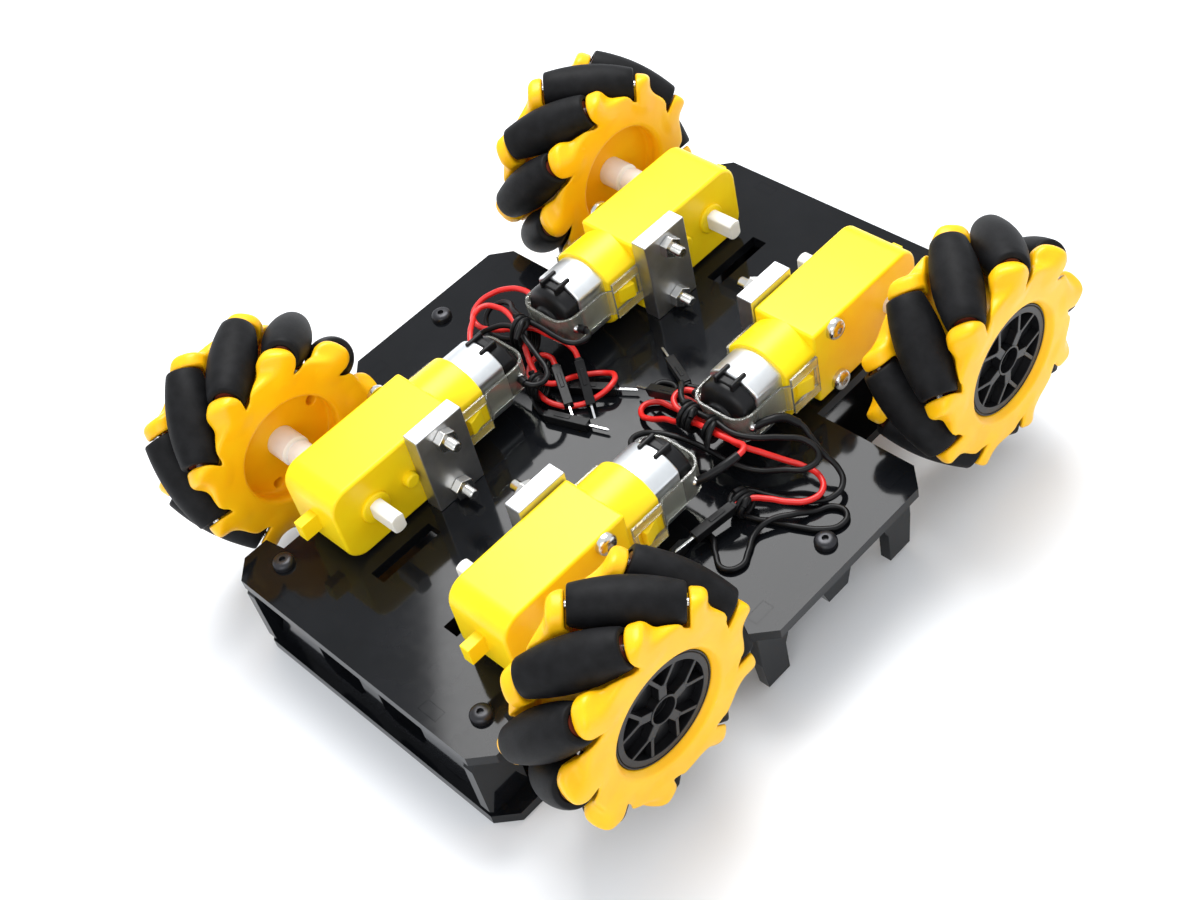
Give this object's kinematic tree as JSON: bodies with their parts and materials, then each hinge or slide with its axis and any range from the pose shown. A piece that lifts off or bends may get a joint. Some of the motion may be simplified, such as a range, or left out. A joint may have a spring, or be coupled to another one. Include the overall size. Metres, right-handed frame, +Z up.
{
  "type": "four-wheel mecanum robot chassis",
  "caption": "Robot chassis of black acrylic plates with yellow gear motors, aluminium mount blocks, mecanum wheels with skewed rubber rollers and tied motor wires, standing upside down.",
  "frame": {"origin": "on the floor under the centre of the chassis, on the outer face of the deck plate, which it stands on upside down", "axes": "+Z up from the deck plate to the motors, +Y towards the front end, +X to the right along the wheel axles"},
  "size_m": [0.1528, 0.184, 0.0699],
  "materials": {
    "acrylic": "polished black sheet, mirror-like",
    "gearbox_plastic": "moulded, semi-gloss yellow",
    "motor_steel": "zinc-plated, satin",
    "aluminium": "milled, satin",
    "wheel_plastic": "moulded, semi-gloss amber yellow",
    "roller_rubber": "matte black",
    "wire_insulation": "smooth black and red insulation"
  },
  "bodies": {
    "chassis": {"motor_plate": "acrylic", "deck_plate": "acrylic", "end_wall_front": "acrylic", "end_wall_rear": "acrylic", "side_wall_right": "acrylic", "side_wall_left": "acrylic", "gearbox_front_right": "gearbox_plastic", "motor_can_front_right": "motor_steel", "mount_block_front_right": "aluminium", "gearbox_front_left": "gearbox_plastic", "motor_can_front_left": "motor_steel", "mount_block_front_left": "aluminium", "gearbox_rear_left": "gearbox_plastic", "motor_can_rear_left": "motor_steel", "mount_block_rear_left": "aluminium", "gearbox_rear_right": "gearbox_plastic", "motor_can_rear_right": "motor_steel", "mount_block_rear_right": "aluminium", "wire_bundle_right": "wire_insulation", "wire_bundle_left": "wire_insulation"},
    "wheel_front_right": {"wheel_frame_front_right": "wheel_plastic"},
    "roller_front_right_1": {"roller_front_right_1": "roller_rubber"},
    "roller_front_right_2": {"roller_front_right_2": "roller_rubber"},
    "roller_front_right_3": {"roller_front_right_3": "roller_rubber"},
    "roller_front_right_4": {"roller_front_right_4": "roller_rubber"},
    "roller_front_right_5": {"roller_front_right_5": "roller_rubber"},
    "roller_front_right_6": {"roller_front_right_6": "roller_rubber"},
    "roller_front_right_7": {"roller_front_right_7": "roller_rubber"},
    "roller_front_right_8": {"roller_front_right_8": "roller_rubber"},
    "roller_front_right_9": {"roller_front_right_9": "roller_rubber"},
    "wheel_front_left": {"wheel_frame_front_left": "wheel_plastic"},
    "roller_front_left_1": {"roller_front_left_1": "roller_rubber"},
    "roller_front_left_2": {"roller_front_left_2": "roller_rubber"},
    "roller_front_left_3": {"roller_front_left_3": "roller_rubber"},
    "roller_front_left_4": {"roller_front_left_4": "roller_rubber"},
    "roller_front_left_5": {"roller_front_left_5": "roller_rubber"},
    "roller_front_left_6": {"roller_front_left_6": "roller_rubber"},
    "roller_front_left_7": {"roller_front_left_7": "roller_rubber"},
    "roller_front_left_8": {"roller_front_left_8": "roller_rubber"},
    "roller_front_left_9": {"roller_front_left_9": "roller_rubber"},
    "wheel_rear_left": {"wheel_frame_rear_left": "wheel_plastic"},
    "roller_rear_left_1": {"roller_rear_left_1": "roller_rubber"},
    "roller_rear_left_2": {"roller_rear_left_2": "roller_rubber"},
    "roller_rear_left_3": {"roller_rear_left_3": "roller_rubber"},
    "roller_rear_left_4": {"roller_rear_left_4": "roller_rubber"},
    "roller_rear_left_5": {"roller_rear_left_5": "roller_rubber"},
    "roller_rear_left_6": {"roller_rear_left_6": "roller_rubber"},
    "roller_rear_left_7": {"roller_rear_left_7": "roller_rubber"},
    "roller_rear_left_8": {"roller_rear_left_8": "roller_rubber"},
    "roller_rear_left_9": {"roller_rear_left_9": "roller_rubber"},
    "wheel_rear_right": {"wheel_frame_rear_right": "wheel_plastic"},
    "roller_rear_right_1": {"roller_rear_right_1": "roller_rubber"},
    "roller_rear_right_2": {"roller_rear_right_2": "roller_rubber"},
    "roller_rear_right_3": {"roller_rear_right_3": "roller_rubber"},
    "roller_rear_right_4": {"roller_rear_right_4": "roller_rubber"},
    "roller_rear_right_5": {"roller_rear_right_5": "roller_rubber"},
    "roller_rear_right_6": {"roller_rear_right_6": "roller_rubber"},
    "roller_rear_right_7": {"roller_rear_right_7": "roller_rubber"},
    "roller_rear_right_8": {"roller_rear_right_8": "roller_rubber"},
    "roller_rear_right_9": {"roller_rear_right_9": "roller_rubber"}
  },
  "joints": [
    {"name": "wheel_spin_front_right", "type": "hinge", "parent": "chassis", "child": "wheel_front_right", "pos_m": [0.064, 0.0608, 0.04], "axis": [1, 0, 0], "continuous": true},
    {"name": "wheel_spin_front_left", "type": "hinge", "parent": "chassis", "child": "wheel_front_left", "pos_m": [-0.064, 0.0608, 0.04], "axis": [1, 0, 0], "continuous": true},
    {"name": "wheel_spin_rear_left", "type": "hinge", "parent": "chassis", "child": "wheel_rear_left", "pos_m": [-0.064, -0.0608, 0.04], "axis": [1, 0, 0], "continuous": true},
    {"name": "wheel_spin_rear_right", "type": "hinge", "parent": "chassis", "child": "wheel_rear_right", "pos_m": [0.064, -0.0608, 0.04], "axis": [1, 0, 0], "continuous": true},
    {"name": "roller_spin_front_right_1", "type": "hinge", "parent": "wheel_front_right", "child": "roller_front_right_1", "pos_m": [0.064, 0.05581, 0.06348], "axis": [0.7071, -0.6917, -0.147], "continuous": true},
    {"name": "roller_spin_front_right_2", "type": "hinge", "parent": "wheel_front_right", "child": "roller_front_right_2", "pos_m": [0.064, 0.04189, 0.05478], "axis": [0.7071, -0.4353, -0.5572], "continuous": true},
    {"name": "roller_spin_front_right_3", "type": "hinge", "parent": "wheel_front_right", "child": "roller_front_right_3", "pos_m": [0.064, 0.03681, 0.03916], "axis": [0.7071, 0.0247, -0.7067], "continuous": true},
    {"name": "roller_spin_front_right_4", "type": "hinge", "parent": "wheel_front_right", "child": "roller_front_right_4", "pos_m": [0.064, 0.04296, 0.02394], "axis": [0.7071, 0.4731, -0.5255], "continuous": true},
    {"name": "roller_spin_front_right_5", "type": "hinge", "parent": "wheel_front_right", "child": "roller_front_right_5", "pos_m": [0.064, 0.05746, 0.01623], "axis": [0.7071, 0.7002, -0.0984], "continuous": true},
    {"name": "roller_spin_front_right_6", "type": "hinge", "parent": "wheel_front_right", "child": "roller_front_right_6", "pos_m": [0.064, 0.07352, 0.01965], "axis": [0.7071, 0.5997, 0.3747], "continuous": true},
    {"name": "roller_spin_front_right_7", "type": "hinge", "parent": "wheel_front_right", "child": "roller_front_right_7", "pos_m": [0.064, 0.08363, 0.03258], "axis": [0.7071, 0.2185, 0.6725], "continuous": true},
    {"name": "roller_spin_front_right_8", "type": "hinge", "parent": "wheel_front_right", "child": "roller_front_right_8", "pos_m": [0.064, 0.08305, 0.04899], "axis": [0.7071, -0.2649, 0.6556], "continuous": true},
    {"name": "roller_spin_front_right_9", "type": "hinge", "parent": "wheel_front_right", "child": "roller_front_right_9", "pos_m": [0.064, 0.07207, 0.06119], "axis": [0.7071, -0.6243, 0.332], "continuous": true},
    {"name": "roller_spin_front_left_1", "type": "hinge", "parent": "wheel_front_left", "child": "roller_front_left_1", "pos_m": [-0.064, 0.06497, 0.06364], "axis": [-0.7071, -0.6964, 0.1228], "continuous": true},
    {"name": "roller_spin_front_left_2", "type": "hinge", "parent": "wheel_front_left", "child": "roller_front_left_2", "pos_m": [-0.064, 0.0488, 0.06078], "axis": [-0.7071, -0.6124, -0.3536], "continuous": true},
    {"name": "roller_spin_front_left_3", "type": "hinge", "parent": "wheel_front_left", "child": "roller_front_left_3", "pos_m": [-0.064, 0.03825, 0.04821], "axis": [-0.7071, -0.2418, -0.6645], "continuous": true},
    {"name": "roller_spin_front_left_4", "type": "hinge", "parent": "wheel_front_left", "child": "roller_front_left_4", "pos_m": [-0.064, 0.03825, 0.03179], "axis": [-0.7071, 0.2418, -0.6645], "continuous": true},
    {"name": "roller_spin_front_left_5", "type": "hinge", "parent": "wheel_front_left", "child": "roller_front_left_5", "pos_m": [-0.064, 0.0488, 0.01922], "axis": [-0.7071, 0.6124, -0.3536], "continuous": true},
    {"name": "roller_spin_front_left_6", "type": "hinge", "parent": "wheel_front_left", "child": "roller_front_left_6", "pos_m": [-0.064, 0.06497, 0.01636], "axis": [-0.7071, 0.6964, 0.1228], "continuous": true},
    {"name": "roller_spin_front_left_7", "type": "hinge", "parent": "wheel_front_left", "child": "roller_front_left_7", "pos_m": [-0.064, 0.07919, 0.02457], "axis": [-0.7071, 0.4545, 0.5417], "continuous": true},
    {"name": "roller_spin_front_left_8", "type": "hinge", "parent": "wheel_front_left", "child": "roller_front_left_8", "pos_m": [-0.064, 0.0848, 0.04], "axis": [-0.7071, 0, 0.7071], "continuous": true},
    {"name": "roller_spin_front_left_9", "type": "hinge", "parent": "wheel_front_left", "child": "roller_front_left_9", "pos_m": [-0.064, 0.07919, 0.05543], "axis": [-0.7071, -0.4545, 0.5417], "continuous": true},
    {"name": "roller_spin_rear_left_1", "type": "hinge", "parent": "wheel_rear_left", "child": "roller_rear_left_1", "pos_m": [-0.064, -0.06143, 0.06399], "axis": [-0.7071, 0.7069, 0.0185], "continuous": true},
    {"name": "roller_spin_rear_left_2", "type": "hinge", "parent": "wheel_rear_left", "child": "roller_rear_left_2", "pos_m": [-0.064, -0.04586, 0.05878], "axis": [-0.7071, 0.5534, -0.4402], "continuous": true},
    {"name": "roller_spin_rear_left_3", "type": "hinge", "parent": "wheel_rear_left", "child": "roller_rear_left_3", "pos_m": [-0.064, -0.03728, 0.04478], "axis": [-0.7071, 0.141, -0.6929], "continuous": true},
    {"name": "roller_spin_rear_left_4", "type": "hinge", "parent": "wheel_rear_left", "child": "roller_rear_left_4", "pos_m": [-0.064, -0.03971, 0.02855], "axis": [-0.7071, -0.3374, -0.6214], "continuous": true},
    {"name": "roller_spin_rear_left_5", "type": "hinge", "parent": "wheel_rear_left", "child": "roller_rear_left_5", "pos_m": [-0.064, -0.052, 0.01767], "axis": [-0.7071, -0.6579, -0.2592], "continuous": true},
    {"name": "roller_spin_rear_left_6", "type": "hinge", "parent": "wheel_rear_left", "child": "roller_rear_left_6", "pos_m": [-0.064, -0.06842, 0.01724], "axis": [-0.7071, -0.6706, 0.2244], "continuous": true},
    {"name": "roller_spin_rear_left_7", "type": "hinge", "parent": "wheel_rear_left", "child": "roller_rear_left_7", "pos_m": [-0.064, -0.08126, 0.02746], "axis": [-0.7071, -0.3695, 0.6029], "continuous": true},
    {"name": "roller_spin_rear_left_8", "type": "hinge", "parent": "wheel_rear_left", "child": "roller_rear_left_8", "pos_m": [-0.064, -0.08454, 0.04355], "axis": [-0.7071, 0.1045, 0.6993], "continuous": true},
    {"name": "roller_spin_rear_left_9", "type": "hinge", "parent": "wheel_rear_left", "child": "roller_rear_left_9", "pos_m": [-0.064, -0.0767, 0.05797], "axis": [-0.7071, 0.5296, 0.4685], "continuous": true},
    {"name": "roller_spin_rear_right_1", "type": "hinge", "parent": "wheel_rear_right", "child": "roller_rear_right_1", "pos_m": [0.064, -0.05561, 0.06343], "axis": [0.7071, 0.6903, -0.153], "continuous": true},
    {"name": "roller_spin_rear_right_2", "type": "hinge", "parent": "wheel_rear_right", "child": "roller_rear_right_2", "pos_m": [0.064, -0.04176, 0.05461], "axis": [0.7071, 0.4305, -0.561], "continuous": true},
    {"name": "roller_spin_rear_right_3", "type": "hinge", "parent": "wheel_rear_right", "child": "roller_rear_right_3", "pos_m": [0.064, -0.03682, 0.03895], "axis": [0.7071, -0.0308, -0.7064], "continuous": true},
    {"name": "roller_spin_rear_right_4", "type": "hinge", "parent": "wheel_rear_right", "child": "roller_rear_right_4", "pos_m": [0.064, -0.04311, 0.02379], "axis": [0.7071, -0.4777, -0.5213], "continuous": true},
    {"name": "roller_spin_rear_right_5", "type": "hinge", "parent": "wheel_rear_right", "child": "roller_rear_right_5", "pos_m": [0.064, -0.05767, 0.01621], "axis": [0.7071, -0.7011, -0.0923], "continuous": true},
    {"name": "roller_spin_rear_right_6", "type": "hinge", "parent": "wheel_rear_right", "child": "roller_rear_right_6", "pos_m": [0.064, -0.0737, 0.01976], "axis": [0.7071, -0.5964, 0.3799], "continuous": true},
    {"name": "roller_spin_rear_right_7", "type": "hinge", "parent": "wheel_rear_right", "child": "roller_rear_right_7", "pos_m": [0.064, -0.08369, 0.03278], "axis": [0.7071, -0.2126, 0.6744], "continuous": true},
    {"name": "roller_spin_rear_right_8", "type": "hinge", "parent": "wheel_rear_right", "child": "roller_rear_right_8", "pos_m": [0.064, -0.08297, 0.04918], "axis": [0.7071, 0.2706, 0.6533], "continuous": true},
    {"name": "roller_spin_rear_right_9", "type": "hinge", "parent": "wheel_rear_right", "child": "roller_rear_right_9", "pos_m": [0.064, -0.07188, 0.06129], "axis": [0.7071, 0.6272, 0.3265], "continuous": true}
  ]
}
